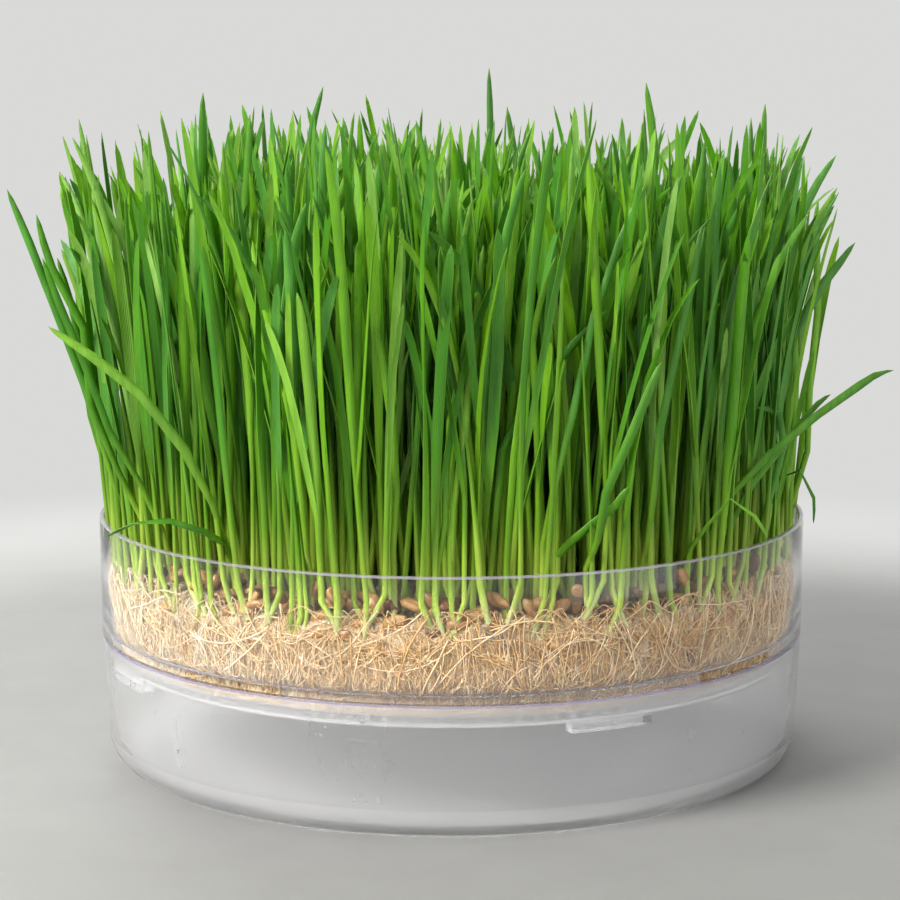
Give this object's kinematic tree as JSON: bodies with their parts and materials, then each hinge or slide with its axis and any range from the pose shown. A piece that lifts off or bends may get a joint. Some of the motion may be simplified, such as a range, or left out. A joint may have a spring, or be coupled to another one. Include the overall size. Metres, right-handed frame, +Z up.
{
  "type": "wheatgrass tray",
  "caption": "Round clear sprouting tray with a perforated floor, full of wheat kernels, matted roots and tall green shoots, standing on a clear drip tray.",
  "frame": {"origin": "centre of the lower tray's underside, where it stands on the table", "axes": "+Z up along the trays' common axis, -Y towards the front of the picture, +X to its right"},
  "size_m": [0.2137, 0.2016, 0.1738],
  "materials": {
    "lower_tray": "clear, polished, misted on the inside",
    "upper_tray": "clear, polished",
    "roots": "matt, fibrous, damp",
    "wheat": "satin blades on brown kernels"
  },
  "bodies": {
    "root": {"lower_tray": "lower_tray", "upper_tray": "upper_tray", "root_mat": "roots", "sprouted_wheat": "wheat"}
  },
  "joints": []
}
